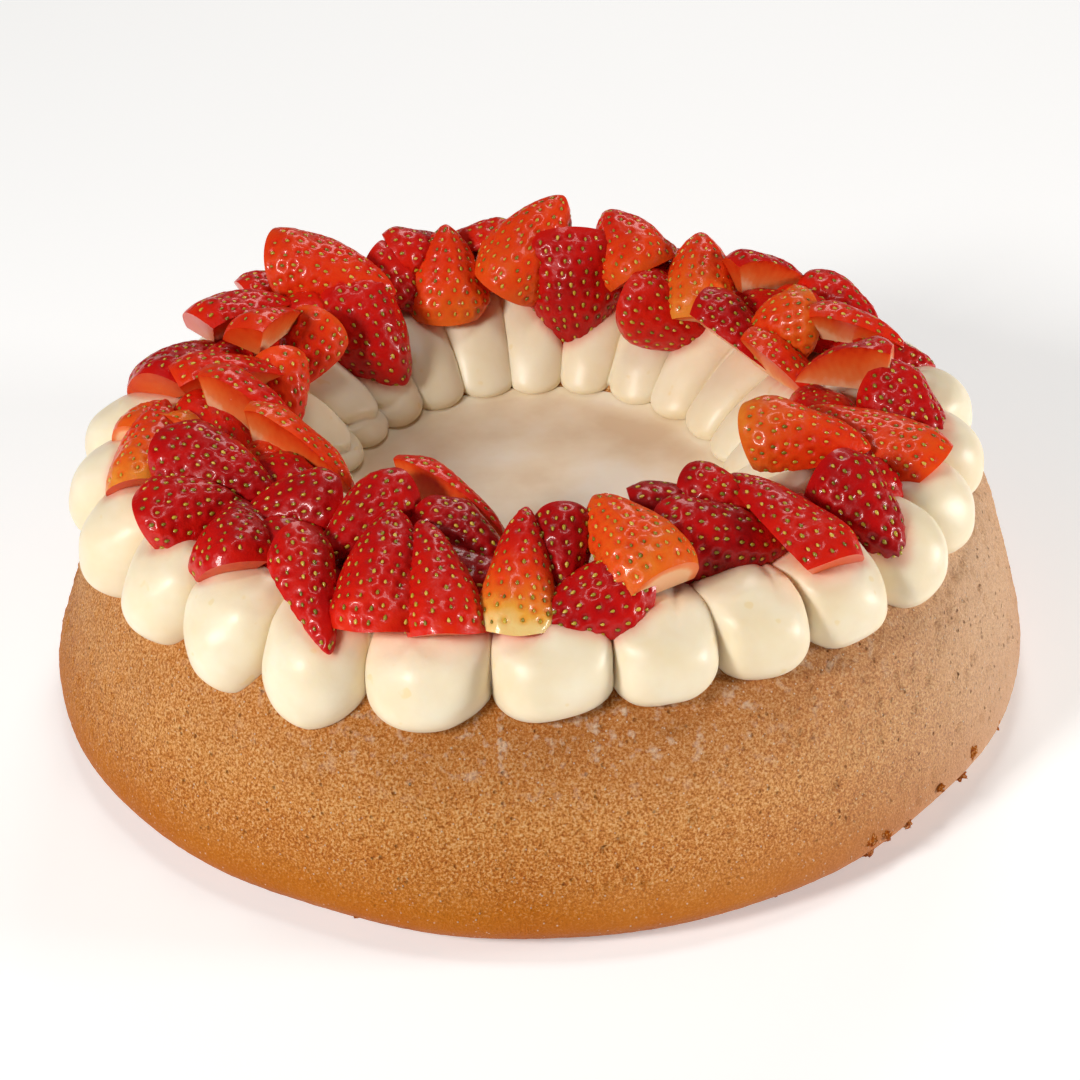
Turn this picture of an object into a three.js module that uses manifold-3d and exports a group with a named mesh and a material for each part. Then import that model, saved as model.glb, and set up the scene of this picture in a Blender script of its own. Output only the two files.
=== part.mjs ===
// A milk-soaked ring-pan sponge cake, its well filled with cream, with a border of
// piped cream bulbs on top and cut strawberries heaped on the border.
// Millimetres, +Z up, origin at the middle of the flat underside, front towards -Y.
import * as THREE from "three";
import { mergeVertices } from "three/addons/utils/BufferGeometryUtils.js";
import { ConvexGeometry } from "three/addons/geometries/ConvexGeometry.js";
import Module from "manifold-3d";

// Sponge
const BASE_RADIUS = 150;
const FOOT_RADIUS = 137;
const CROWN_HEIGHT = 75;
// Crust from the crown over the rounded shoulder to the wall, as [radius, height]
const CRUST = [[100, CROWN_HEIGHT - 0.6], [124, 72.5], [134, 65], [139, 56], [143, 44]];
const WELL_RADIUS = 61;
const WELL_FLOOR = 50;
const SPONGE_SIDES = 40;

// Cream in the well
const POOL_LEVEL = 62.5;
const POOL_SIDES = 32;

// Two piped rings. The cross-sections of each, as [radius, height], run along the top line
// of a bulb and along the fold between two bulbs, and the surface swells from one to the
// other. The outer ring has larger bulbs at the front and reaches out unevenly, as [clock,
// radius], and where it reaches further its bulbs hang lower over the shoulder. Their share
// of the full height over the crown, as [clock, share], is less at the back.
const TAIL_RADIUS = 91;
const FRONT_CLOCK = 264;
const OUTER_RING = {
  bulbs: 27,
  columns: 5,
  firstFold: 263.5,
  broadening: 0.22,
  footRow: 3,
  reach: 137.5,
  reaches: [
    [8, 135], [30, 125], [90, 124], [150, 126], [174, 138], [195, 144], [216, 142], [242, 143.5],
    [257, 140], [271, 136], [286, 134.4], [298, 135], [315, 137], [328, 138.5], [344, 136],
  ],
  heights: [[8, 1], [30, 0.6], [150, 0.6], [174, 1]],
  ridge: [
    [91, 75.8], [121, 74.6], [127.5, 73.1], [131.5, 70.4], [137.5, 77], [136, 84.5],
    [130, 90.5], [118, 93.5], [91, 88],
  ],
  fold: [
    [91, 75.8], [112, 75.2], [117, 75.2], [120.5, 75.2], [123, 78], [123.5, 82.8],
    [121, 87.6], [112.5, 90.6], [91, 87],
  ],
};
const INNER_RING = {
  bulbs: 24,
  columns: 4,
  firstFold: 97,
  broadening: 0,
  footRow: 0,
  reach: 56.5,
  reaches: [],
  heights: [],
  ridge: [
    [59.5, 63.2], [66, 70], [90.4, 75.4], [90.4, 88], [82, 87.5],
    [72, 82.5], [63.5, 75.5], [57.8, 68.5], [56.5, 64.5],
  ],
  fold: [
    [62.5, 65.8], [68, 71.4], [90.4, 75.4], [90.4, 86], [84, 85],
    [76, 80.2], [68.5, 74.6], [62.8, 69.2], [61, 66.8],
  ],
};

// Gap left between neighbouring pieces
const GAP = 0.3;

// Strawberry pieces, each a lengthwise cut of a hulled berry. In each row:
// clock: angle round the cake from +X, degrees; out, up: place of the middle of the
// piece; turn: which way the tip points from straight outwards; pitch: rise of the
// tip; roll: turn of the middle of the skin from straight up; length and width of the
// berry; skin: degrees of skin left by the cuts, 180 for a half.
const STRAWBERRIES = [
  // right
  [1, 94, 103, 166, 2, 40, 28, 33, 90],
  [10, 113, 95, -8, 0, 0, 26, 21, 180],
  [14, 104, 102, -32, -2, -20, 32, 24, 90],
  [23, 85, 102, 165, 4, -30, 20, 26, 180],
  [29, 76, 95, -72, -15, -30, 36, 28, 150],
  [29, 112, 95, -68, -4, 10, 29, 24, 180],
  [40, 98, 102, -25, 0, -30, 26, 29, 90],
  [50, 84, 101, 37, 47, 0, 31, 28, 180],
  [53, 72, 91, -73, -21, 40, 32, 27, 180],
  [15, 82, 91, -65, -8, -35, 34, 26, 120],
  // back
  [69, 85, 106, 50, 30, -25, 31, 27, 180],
  [79, 74, 92, -169, -53, 0, 39, 38, 180],
  [84, 103, 82, 25, -8, 0, 33, 25, 180],
  [90, 82, 104, -54, 46, 40, 39, 30, 180],
  [101, 97, 100, 80, 0, 0, 28, 22, 120],
  [110, 81, 97, -22, 61, 0, 33, 27, 180],
  [112, 93, 102, -93, 0, 20, 26, 24, 180],
  [119, 86, 97, -148, -31, 0, 26, 22, 180],
  [118, 106, 85, 80, 0, -15, 36, 26, 180],
  // left
  [134, 91, 108, -152, -7, 10, 43, 28, 180],
  [135, 72, 91, -178, -30, 15, 37, 34, 180],
  [139, 109, 98, -112, 0, 0, 26, 20, 120],
  [155, 79, 96, 91, -35, 0, 24, 24, 180],
  [153, 102, 103, -120, 6, -25, 36, 29, 120],
  [160, 86, 107, -99, -2, -25, 31, 26, 90],
  [168, 112, 98, -110, 7, -30, 36, 29, 180],
  [172, 77, 95, 121, -37, 0, 24, 21, 180],
  [175, 93, 102, -161, 7, -15, 35, 30, 90],
  [183, 119, 96, -120, 10, -45, 21, 17, 120],
  [187, 112, 97, -38, 0, 45, 23, 22, 90],
  [189, 83, 101, 142, -9, -35, 40, 33, 90],
  [192, 120, 98, -111, 16, -35, 43, 22, 180],
  [206, 75, 99, 125, -11, -35, 40, 32, 90],
  [209, 83, 95, 100, 0, 20, 31, 23, 180],
  [207, 103, 103, 121, -4, 10, 41, 27, 180],
  [212, 118, 100, 153, 12, 20, 30, 26, 180],
  [222, 117, 98, -127, 21, -20, 28, 29, 120],
  [223, 96, 99, -39, 0, -35, 30, 27, 120],
  // front
  [240, 123, 99, 48, -19, -25, 41, 20, 180],
  [238, 93, 105, -10, -7, 0, 34, 24, 180],
  [249, 65, 98, 75, -3, -45, 42, 27, 90],
  [248, 114, 104, -166, 31, 0, 44, 29, 180],
  [256, 112, 103, -154, 25, 10, 44, 25, 180],
  [256, 88, 102, 62, -4, 20, 29, 21, 180],
  [267, 107, 103, 176, 32, 0, 43, 22, 180],
  [274, 97, 104, -4, -19, 0, 25, 20, 180],
  [277, 113, 97, -70, 0, -15, 35, 26, 180],
  [285, 100, 108, -162, 26, 0, 35, 28, 180],
  [299, 81, 100, 72, 0, 10, 28, 23, 180],
  [300, 102, 98, 62, 0, 45, 40, 30, 180],
  [307, 86, 104, 18, 0, 0, 23, 18, 180],
  [312, 105, 100, 174, 17, 20, 51, 32, 120],
  [323, 117, 97, -13, -22, 10, 35, 27, 180],
  [333, 88, 105, 10, 5, 10, 38, 27, 180],
  [342, 104, 98, 162, 14, -10, 48, 28, 180],
  [353, 114, 97, -49, -13, 0, 32, 25, 180],
].map(([clock, out, up, turn, pitch, roll, length, width, skin], i) => ({
  clock, out, up, turn, pitch, roll, length, width, skin, number: i + 1,
}));

// The middle of a piece stands over its core line by this share of its width
const CORE_DEPTH = 0.23;
// The hull was cut off aslant, under the skin, by this share of the length, fading out
// along the berry, but square across in a few pieces, by number
const UNDERCUT = 0.14;
const UNDERCUT_FADE = 0.35;
const SQUARE_STEMS = [1, 8, 29, 48];

const wasm = await Module();
wasm.setup();

const material = (color, roughness) =>
  new THREE.MeshStandardMaterial({ color, roughness, metalness: 0 });
const SPONGE_COLOUR = material("#b9773f", 0.85);
const CREAM_COLOUR = material("#f3e3c5", 0.5);
const POOL_COLOUR = material("#cdb391", 0.45);
const STRAWBERRY_COLOUR = material("#b3121a", 0.3);

// Closed geometry to a solid that can be cut and joined
function solid(geometry) {
  const bare = geometry.clone();
  for (const name of Object.keys(bare.attributes)) {
    if (name !== "position") bare.deleteAttribute(name);
  }
  const merged = mergeVertices(bare, 1e-4);
  return new wasm.Manifold(
    new wasm.Mesh({
      numProp: 3,
      vertProperties: new Float32Array(merged.attributes.position.array),
      triVerts: new Uint32Array(merged.index.array),
    }),
  );
}

function geometryOf(made) {
  const { vertProperties, triVerts } = made.getMesh();
  const geometry = new THREE.BufferGeometry();
  geometry.setAttribute("position", new THREE.BufferAttribute(vertProperties, 3));
  geometry.setIndex(new THREE.BufferAttribute(triVerts, 1));
  geometry.computeVertexNormals();
  return geometry;
}

// A lathe turned from its own +Y axis to +Z, from [radius, height] pairs
function turned(profile, sides) {
  const points = profile.map(([radius, height]) => new THREE.Vector2(radius, height));
  return new THREE.LatheGeometry(points, sides).rotateX(Math.PI / 2);
}

// Sponge profile from the middle of the underside to the middle of the well floor
function spongeProfile() {
  return [
    [0, 0],
    [FOOT_RADIUS, 0],
    [BASE_RADIUS - 7, 3],
    [BASE_RADIUS - 2.4, 7],
    [BASE_RADIUS, 13],
    ...CRUST.toReversed(),
    [WELL_RADIUS + 20, CROWN_HEIGHT - 2.2],
    [WELL_RADIUS + 5, CROWN_HEIGHT - 6.5],
    [WELL_RADIUS, CROWN_HEIGHT - 11.5],
    [WELL_RADIUS, WELL_FLOOR],
    [0, WELL_FLOOR],
  ];
}

// Angle at each fold of a ring, the bulbs near the front taking a larger share
function foldAngles({ bulbs, firstFold, broadening }) {
  const shares = [];
  for (let i = 0; i < bulbs; i++) {
    const fromFront = ((firstFold + ((i + 0.5) * 360) / bulbs - FRONT_CLOCK + 540) % 360) - 180;
    shares.push(1 + broadening * Math.exp(-((fromFront / 18) ** 2)));
  }
  const whole = shares.reduce((sum, share) => sum + share);
  let angle = firstFold;
  return shares.map((share) => {
    const from = angle;
    angle += (360 * share) / whole;
    return { from, to: angle };
  });
}

// Value at a place between [place, value] pairs in rising order
function between(pairs, place) {
  const after = pairs.findIndex(([at]) => at >= place);
  if (after <= 0) return pairs.at(after)[1];
  const [from, to] = [pairs[after - 1], pairs[after]];
  return THREE.MathUtils.mapLinear(place, from[0], to[0], from[1], to[1]);
}

// Value at a clock angle between [clock, value] pairs that go full circle
function roundAbout(pairs, clock) {
  const [start, value] = pairs[0];
  return between([...pairs, [start + 360, value]], ((clock - start) % 360) + start);
}

// How far a ring reaches out at a clock angle, as a share of its cross-section's own reach
function reachShare({ reach, reaches }, clock) {
  if (!reaches.length) return 1;
  return (roundAbout(reaches, clock) - TAIL_RADIUS) / (reach - TAIL_RADIUS);
}

// A closed ring of piped bulbs round the Z axis
function pipedRing(ring) {
  const { columns, ridge, fold, footRow, heights } = ring;
  const { lerp, degToRad } = THREE.MathUtils;
  const rows = ridge.length;
  const crest = Math.max(...ridge.map(([, height]) => height));
  const places = [];
  for (const { from, to } of foldAngles(ring)) {
    for (let j = 0; j < columns; j++) {
      const swell = (1 - ((2 * j) / columns - 1) ** 2) ** 0.65;
      const clock = lerp(from, to, j / columns);
      const share = reachShare(ring, clock);
      const tall = heights.length ? roundAbout(heights, clock) : 1;
      const line = ridge.map(([radius, top], k) => {
        const height = lerp(fold[k][1], top, swell);
        const squat = CROWN_HEIGHT + (height - CROWN_HEIGHT) * tall;
        return { radius: lerp(fold[k][0], radius, swell), height: Math.min(height, squat) };
      });
      const outAt = (radius) => TAIL_RADIUS + (radius - TAIL_RADIUS) * share;
      const lift = (radius) => between(CRUST, outAt(radius)) - between(CRUST, radius);
      const foot = line[footRow];
      line.forEach(({ radius, height }, k) => {
        const hung = (lift(foot.radius) * (crest - height)) / (crest - foot.height);
        places.push(
          outAt(radius) * Math.cos(degToRad(clock)),
          outAt(radius) * Math.sin(degToRad(clock)),
          height + (k < footRow ? lift(radius) : hung),
        );
      });
    }
  }
  const across = ring.bulbs * columns;
  const faces = [];
  for (let i = 0; i < across; i++) {
    const here = i * rows;
    const next = ((i + 1) % across) * rows;
    const rising = i % columns < columns / 2;
    for (let k = 0; k < rows; k++) {
      const up = (k + 1) % rows;
      faces.push(here + k, next + k, rising ? here + up : next + up);
      faces.push(rising ? next + k : here + k, next + up, here + up);
    }
  }
  const geometry = new THREE.BufferGeometry();
  geometry.setAttribute("position", new THREE.Float32BufferAttribute(places, 3));
  geometry.setIndex(faces);
  return geometry;
}

// Convex lengthwise piece of a berry round its middle: tip at +X, middle of skin at +Z
function berryPiece({ length, width, skin, number }) {
  const half = THREE.MathUtils.degToRad(skin) / 2;
  const steps = Math.round(skin / 36);
  const core = -CORE_DEPTH * width;
  const undercut = SQUARE_STEMS.includes(number) ? 0 : UNDERCUT * length;
  const points = [
    new THREE.Vector3(length / 2, 0, core),
    new THREE.Vector3(undercut - length / 2, 0, core),
  ];
  for (const along of [0, 0.13, 0.36, 0.64, 0.88]) {
    const shoulder = 0.84 + 0.16 * Math.sin((Math.PI / 2) * Math.min(along / 0.25, 1));
    const radius = 0.52 * width * shoulder * (1 - along ** 2) ** 0.7;
    const slant = undercut * Math.max(0, 1 - along / UNDERCUT_FADE);
    for (let i = 0; i <= steps; i++) {
      const angle = half * ((2 * i) / steps - 1);
      const x = (along - 0.5) * length + slant * (1 - Math.cos(angle));
      points.push(new THREE.Vector3(x, radius * Math.sin(angle), core + radius * Math.cos(angle)));
    }
  }
  return new ConvexGeometry(points);
}

// Turn and place of a piece, from its row
function berryPose({ clock, out, up, turn, pitch, roll }) {
  const rad = THREE.MathUtils.degToRad;
  const holder = new THREE.Object3D();
  holder.rotation.set(rad(roll), -rad(pitch), rad(clock + turn), "ZYX");
  holder.position.set(out * Math.cos(rad(clock)), out * Math.sin(rad(clock)), up);
  return holder;
}

// The piece as a solid in the cake's frame, swollen about its middle by a share
function placedBerry({ geometry, holder }, swell = 1) {
  holder.updateMatrix();
  return solid(geometry.clone().scale(swell, swell, swell).applyMatrix4(holder.matrix));
}

// Where two pieces press together, the lower one gives way
function trimmed(berries) {
  const whole = berries.map((berry) => placedBerry(berry));
  const swollen = berries.map((berry) => placedBerry(berry, 1.03));
  return berries.map((berry, i) => {
    let piece = whole[i];
    berries.forEach((other, j) => {
      const above = other.holder.position.z - berry.holder.position.z || j - i;
      if (above <= 0 || piece.intersect(swollen[j]).volume() < 1e-4) return;
      piece = largest(piece.subtract(swollen[j]));
    });
    return piece;
  });
}

function largest(made) {
  return made.decompose().reduce((one, other) => (other.volume() > one.volume() ? other : one));
}

const berries = STRAWBERRIES.map((row) => ({ geometry: berryPiece(row), holder: berryPose(row) }));
const pieces = trimmed(berries);

const cake = new THREE.Group();
function addPart(name, geometry, colour) {
  const mesh = new THREE.Mesh(geometry, colour);
  mesh.name = name;
  cake.add(mesh);
  return mesh;
}

addPart("sponge", turned(spongeProfile(), SPONGE_SIDES), SPONGE_COLOUR);

const poolProfile = [
  [0, WELL_FLOOR + GAP],
  [WELL_RADIUS - 2 * GAP, WELL_FLOOR + GAP],
  [WELL_RADIUS - 2 * GAP, POOL_LEVEL],
  [0, POOL_LEVEL],
];
const pool = turned(poolProfile, POOL_SIDES);
addPart("cream_pool", pool, POOL_COLOUR);

for (const [name, ring] of [
  ["cream_border_outer", OUTER_RING],
  ["cream_border_inner", INNER_RING],
]) {
  let border = solid(pipedRing(ring));
  for (const berry of berries) border = border.subtract(placedBerry(berry, 1.05));
  addPart(name, geometryOf(largest(border)), CREAM_COLOUR);
}

pieces.forEach((piece, i) => {
  const name = `strawberry_${String(i + 1).padStart(2, "0")}`;
  addPart(name, geometryOf(piece), STRAWBERRY_COLOUR);
});

export default cake;
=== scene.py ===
import math
import random

import bpy
import numpy as np
from mathutils import Euler, Matrix, Vector
from mathutils.kdtree import KDTree


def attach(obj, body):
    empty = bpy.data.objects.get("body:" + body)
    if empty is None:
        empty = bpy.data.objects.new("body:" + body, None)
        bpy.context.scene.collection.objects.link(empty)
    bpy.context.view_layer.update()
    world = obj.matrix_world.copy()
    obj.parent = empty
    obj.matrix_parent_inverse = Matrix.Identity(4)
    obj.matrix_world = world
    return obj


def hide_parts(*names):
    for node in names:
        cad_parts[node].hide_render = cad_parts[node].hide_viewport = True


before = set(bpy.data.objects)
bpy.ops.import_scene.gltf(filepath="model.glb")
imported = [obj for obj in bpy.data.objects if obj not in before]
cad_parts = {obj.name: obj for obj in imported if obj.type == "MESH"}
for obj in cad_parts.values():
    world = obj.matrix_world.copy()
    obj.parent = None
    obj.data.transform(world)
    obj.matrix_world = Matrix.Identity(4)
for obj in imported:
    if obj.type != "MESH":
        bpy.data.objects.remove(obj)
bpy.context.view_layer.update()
MM = 0.001
MEETING_GAP = 0.00002

# Sponge, millimetres, as [radius, height] from the underside to the floor of the well
SPONGE_WALL = [
    (137, 0), (143, 3), (147.6, 7), (150, 13), (147.2, 28), (143, 44), (139, 56),
    (134, 65), (124, 72.5), (100, 74.4), (81, 72.8), (66, 68.5), (61, 63.5), (61, 50),
]
CRUST_RADII, CRUST_HEIGHTS = zip(*SPONGE_WALL[9:4:-1])
CROWN = 75
SPONGE_COLUMNS = 960
BAND_TOP = 18
# Inside this radius the cream hides the crust
HIDDEN_RADIUS = 112
# Long waves of the baked wall: turns round the cake, tilt, size and start
BAKE_WAVES = ((3, 20, 0.5, 0.4), (5, -34, 0.45, 2.1), (9, 55, 0.3, 4.0), (14, 80, 0.22, 1.2))
# Burst pores are tried all over the wall, and crowd most at one clock angle
PIT_TRIES = 2600
PIT_CLOCK = 322
# Crumbs round the foot, the first few of them torn out at one clock angle
CRUMBS = 34
TORN_CRUMBS = 14
TORN_CLOCK = 326
# The foot bulges at the left by this much, milk soaks out under the cream at the front, and
# the crust is palest at the right
BULGE = 2.6
BULGE_CLOCK = 190
SOAK_CLOCK = 276
PALE_CLOCK = 343

# Cream in the well
POOL_RADIUS = 60.4
POOL_FLOOR = 50.3
POOL_LEVEL = 62.5

# Two piped rings. Each cross-section, as [radius, height], runs along the top line of a bulb
# and along the fold between two bulbs, and the surface swells from one to the other. The
# outer ring reaches out unevenly, as [clock, radius], and hangs lower where it reaches further.
# Its share of the full height over the crown, as [clock, share], is less at the back.
# Rows of mesh, as [up to section point, rows], are closest on the side that shows.
TAIL_RADIUS = 91
FRONT_CLOCK = 264
OUTER_RING = {
    "bulbs": 27, "columns": 46, "rows": [(3, 9), (9, 56), (10, 4)], "first_fold": 263.5, "broadening": 0.22,
    "foot_row": 3, "reach": 137.5, "fullness": 0.54,
    "reaches": [
        (8, 135), (30, 125), (90, 124), (150, 126), (174, 138), (195, 144), (216, 142), (242, 143.5),
        (257, 140), (271, 136), (286, 134.4), (298, 135), (315, 137), (328, 138.5), (344, 136),
    ],
    "heights": [(8, 1), (30, 0.6), (150, 0.6), (174, 1)],
    "ridge": [(91, 75), (121, 72.6), (127, 69.6), (131, 67), (136.4, 71), (138, 77.5), (135.6, 85),
              (129, 90.8), (118, 93.5), (91, 88)],
    "fold": [(91, 75), (112, 73.2), (117, 72.8), (120, 72.6), (122, 74.5), (123, 78), (123.2, 82.8),
             (120.6, 87.6), (112.5, 90.6), (91, 87)],
}
INNER_RING = {
    "bulbs": 24, "columns": 44, "rows": [(3, 8), (9, 64)], "first_fold": 97, "broadening": 0,
    "foot_row": 0, "reach": 56.5, "fullness": 0.6,
    "reaches": [(0, 56.5)], "heights": [(0, 1)],
    "ridge": [(59.5, 62.6), (66, 69), (90.4, 75.4), (90.4, 88), (82, 87.5),
              (72, 82.5), (63.5, 75.5), (57.8, 68.5), (56.3, 64.5)],
    "fold": [(62.5, 64.8), (68, 71), (90.4, 75.4), (90.4, 86), (84, 85),
             (76, 80.2), (68.5, 74.6), (62.8, 69.2), (61, 66.4)],
}
# On the left of the well the inner bulbs are doubled: a crease parts off a lower row of lobes
LOBE_CLOCK = 166
LOBE_SPREAD = 27
LOBE_LEVEL = 71

# Strawberry pieces in node order: clock, out and up place the middle of the piece; turn, pitch
# and roll aim the tip and the skin; length and width of the berry; degrees of skin left by the
# cuts; ripeness at the stem end and at the tip, from 0, pale, to 1, dark red.
STRAWBERRIES = [
    (1, 94, 103, 166, 2, 40, 28, 33, 90, 0.72, 0.85),
    (10, 113, 95, -8, 0, 0, 26, 21, 180, 0.72, 0.80),
    (14, 104, 102, -32, -2, -20, 32, 24, 90, 0.58, 0.66),
    (23, 85, 102, 165, 4, -30, 20, 26, 180, 0.34, 0.50),
    (29, 76, 95, -72, -15, -30, 36, 28, 150, 0.80, 0.82),
    (29, 112, 95, -68, -4, 10, 29, 24, 180, 0.70, 0.76),
    (40, 98, 102, -25, 0, -30, 26, 29, 90, 0.78, 0.82),
    (50, 84, 101, 37, 47, 0, 31, 28, 180, 0.25, 0.56),
    (53, 72, 91, -73, -21, 40, 32, 27, 180, 0.70, 0.78),
    (15, 82, 91, -65, -8, -35, 34, 26, 120, 0.52, 0.64),
    (69, 85, 106, 50, 30, -25, 31, 27, 180, 0.46, 0.64),
    (79, 74, 92, -169, -53, 0, 39, 38, 180, 0.78, 0.84),
    (84, 103, 82, 25, -8, 0, 33, 25, 180, 0.70, 0.82),
    (90, 82, 104, -54, 46, 40, 39, 30, 180, 0.44, 0.56),
    (101, 97, 100, 80, 0, 0, 28, 22, 120, 0.60, 0.75),
    (110, 81, 97, -22, 61, 0, 33, 27, 180, 0.38, 0.60),
    (112, 93, 102, -93, 0, 20, 26, 24, 180, 0.70, 0.80),
    (119, 86, 97, -148, -31, 0, 26, 22, 180, 0.74, 0.82),
    (118, 106, 85, 80, 0, -15, 36, 26, 180, 0.62, 0.80),
    (134, 91, 108, -152, -7, 10, 43, 28, 180, 0.55, 0.62),
    (135, 72, 91, -178, -30, 15, 37, 34, 180, 0.74, 0.82),
    (139, 109, 98, -112, 0, 0, 26, 20, 120, 0.70, 0.76),
    (155, 79, 96, 91, -35, 0, 24, 24, 180, 0.50, 0.62),
    (153, 102, 103, -120, 6, -25, 36, 29, 120, 0.68, 0.76),
    (160, 86, 107, -99, -2, -25, 31, 26, 90, 0.62, 0.66),
    (168, 112, 98, -110, 7, -30, 36, 29, 180, 0.82, 0.88),
    (172, 77, 95, 121, -37, 0, 24, 21, 180, 0.50, 0.62),
    (175, 93, 102, -161, 7, -15, 35, 30, 90, 0.62, 0.70),
    (183, 119, 96, -120, 10, -45, 21, 17, 120, 0.40, 0.50),
    (187, 112, 97, -38, 0, 45, 23, 22, 90, 0.30, 0.42),
    (189, 83, 101, 142, -9, -35, 40, 33, 90, 0.60, 0.72),
    (192, 120, 98, -111, 16, -35, 43, 22, 180, 0.26, 0.62),
    (206, 75, 99, 125, -11, -35, 40, 32, 90, 0.44, 0.58),
    (209, 83, 95, 100, 0, 20, 31, 23, 180, 0.52, 0.64),
    (207, 103, 103, 121, -4, 10, 41, 27, 180, 0.84, 0.90),
    (212, 118, 100, 153, 12, 20, 30, 26, 180, 0.78, 0.84),
    (222, 117, 98, -127, 21, -20, 28, 29, 120, 0.80, 0.86),
    (223, 96, 99, -39, 0, -35, 30, 27, 120, 0.84, 0.90),
    (240, 123, 99, 48, -19, -25, 41, 20, 180, 0.78, 0.80),
    (238, 93, 105, -10, -7, 0, 34, 24, 180, 0.82, 0.86),
    (249, 65, 98, 75, -3, -45, 42, 27, 90, 0.62, 0.70),
    (248, 114, 104, -166, 31, 0, 44, 29, 180, 0.68, 0.84),
    (256, 112, 103, -154, 25, 10, 44, 25, 180, 0.66, 0.82),
    (256, 88, 102, 62, -4, 20, 29, 21, 180, 0.88, 0.92),
    (267, 107, 103, 176, 32, 0, 43, 22, 180, 0.02, 0.78),
    (274, 97, 104, -4, -19, 0, 25, 20, 180, 0.86, 0.92),
    (277, 113, 97, -70, 0, -15, 35, 26, 180, 0.80, 0.86),
    (285, 100, 108, -162, 26, 0, 35, 28, 180, 0.36, 0.48),
    (299, 81, 100, 72, 0, 10, 28, 23, 180, 0.92, 0.95),
    (300, 102, 98, 62, 0, 45, 40, 30, 180, 0.84, 0.90),
    (307, 86, 104, 18, 0, 0, 23, 18, 180, 0.90, 0.78),
    (312, 105, 100, 174, 17, 20, 51, 32, 120, 0.70, 0.82),
    (323, 117, 97, -13, -22, 10, 35, 27, 180, 0.86, 0.92),
    (333, 88, 105, 10, 5, 10, 38, 27, 180, 0.32, 0.58),
    (342, 104, 98, 162, 14, -10, 48, 28, 180, 0.50, 0.58),
    (353, 114, 97, -49, -13, 0, 32, 25, 180, 0.78, 0.86),
]
# Small pieces that show only in the gaps of the heap, in the same way
UNDER_PIECES = [
    (358, 86, 92, 100, 0, 0, 34, 24, 180, 0.72, 0.80),
    (26, 99, 95, -80, 0, 0, 34, 24, 180, 0.66, 0.74),
    (37, 90, 95, 100, 0, 0, 36, 25, 180, 0.78, 0.84),
    (44, 107, 90, 80, 0, 0, 36, 24, 180, 0.72, 0.80),
    (62, 88, 94, 95, 0, 0, 36, 26, 180, 0.70, 0.78),
    (66, 106, 87, 85, 0, 0, 36, 26, 180, 0.74, 0.82),
    (98, 92, 94, 90, 0, 0, 36, 26, 180, 0.66, 0.74),
    (126, 94, 95, -85, 0, 0, 36, 26, 180, 0.72, 0.80),
    (140, 106, 90, 95, 0, 0, 36, 24, 180, 0.74, 0.80),
    (147, 94, 97, 60, 0, 0, 32, 24, 180, 0.66, 0.72),
    (164, 100, 96, -80, 0, 0, 38, 26, 180, 0.74, 0.82),
    (190, 95, 95, 100, 0, -15, 38, 28, 180, 0.66, 0.74),
    (216, 84, 95, 95, 0, 0, 34, 24, 180, 0.82, 0.88),
    (214, 107, 94, -90, 0, 0, 36, 24, 180, 0.84, 0.90),
    (232, 106, 95, 80, 0, 0, 34, 24, 180, 0.84, 0.90),
    (244, 102, 95, -95, 0, 0, 36, 26, 180, 0.86, 0.92),
    (261, 98, 95, 90, 0, 0, 36, 26, 180, 0.86, 0.92),
    (291, 92, 95, -90, 0, 0, 36, 26, 180, 0.86, 0.92),
    (318, 100, 94, 80, 0, 0, 38, 26, 180, 0.82, 0.88),
    (338, 106, 92, 95, 0, 0, 38, 26, 180, 0.78, 0.84),
]
# The middle of a piece stands over its core line by this share of its width
CORE_DEPTH = 0.23
# The hull was cut off aslant, under the skin, by this share of the length, fading out along
# the berry, but square across in a few pieces, by number
UNDERCUT = 0.14
UNDERCUT_FADE = 0.35
SQUARE_STEMS = (1, 8, 29, 48)
# Mesh spacing of the skin, coarser on the small pieces, and rows across a cut face
SKIN_STEP = 0.7
UNDER_STEP = 1.0
CUT_ROWS = 8
# Seeds: spacing, half extents, and how far each sits below the skin
SEED_SPACING = 4.5
SEED_SIZE = (0.8, 0.5, 0.36)
SEED_SINK = 0.3

# Camera of the photograph: lens for a square 36 mm sensor, place and aim in millimetres
CAMERA_LENS = 106.87
CAMERA_AIM = (0.41, 0, 43.34)
CAMERA_DISTANCE = 1000
CAMERA_ELEVATION = 32.86
CAMERA_ROLL = 1.62

# Studio lights: name, place in metres, size and power, all of one tint and with one aim
LIGHT_TINT = (1, 0.98, 0.95)
LIGHT_AIM = (0, 0, 0.06)
LIGHTS = [
    ("key", (-0.95, -0.95, 0.85), 0.32, 17),
    ("side", (1.4, -0.2, 0.3), 0.35, 13),
    ("back", (0.2, 1.2, 1.0), 0.5, 5),
    ("top", (0, 0, 1.5), 0.4, 4),
]


# Mesh helpers

def deselect():
    bpy.ops.object.select_all(action="DESELECT")


def pick(piece):
    """Makes a piece the only selected and the active one."""
    deselect()
    piece.select_set(True)
    bpy.context.view_layer.objects.active = piece


def places(piece):
    flat = np.empty(len(piece.data.vertices) * 3, np.float32)
    piece.data.vertices.foreach_get("co", flat)
    return flat.reshape(-1, 3).astype(float)


def move_to(piece, points):
    piece.data.vertices.foreach_set("co", points.astype(np.float32).ravel())
    piece.data.update()


def raise_surface(piece, heights):
    """Moves each vertex along its normal by its height, in metres."""
    flat = np.empty(len(piece.data.vertices) * 3, np.float32)
    piece.data.vertex_normals.foreach_get("vector", flat)
    move_to(piece, places(piece) + flat.reshape(-1, 3) * heights[:, None])


def store(piece, name, values):
    attribute = piece.data.attributes.new(name, "FLOAT", "POINT")
    attribute.data.foreach_set("value", values.astype(np.float32))


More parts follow.
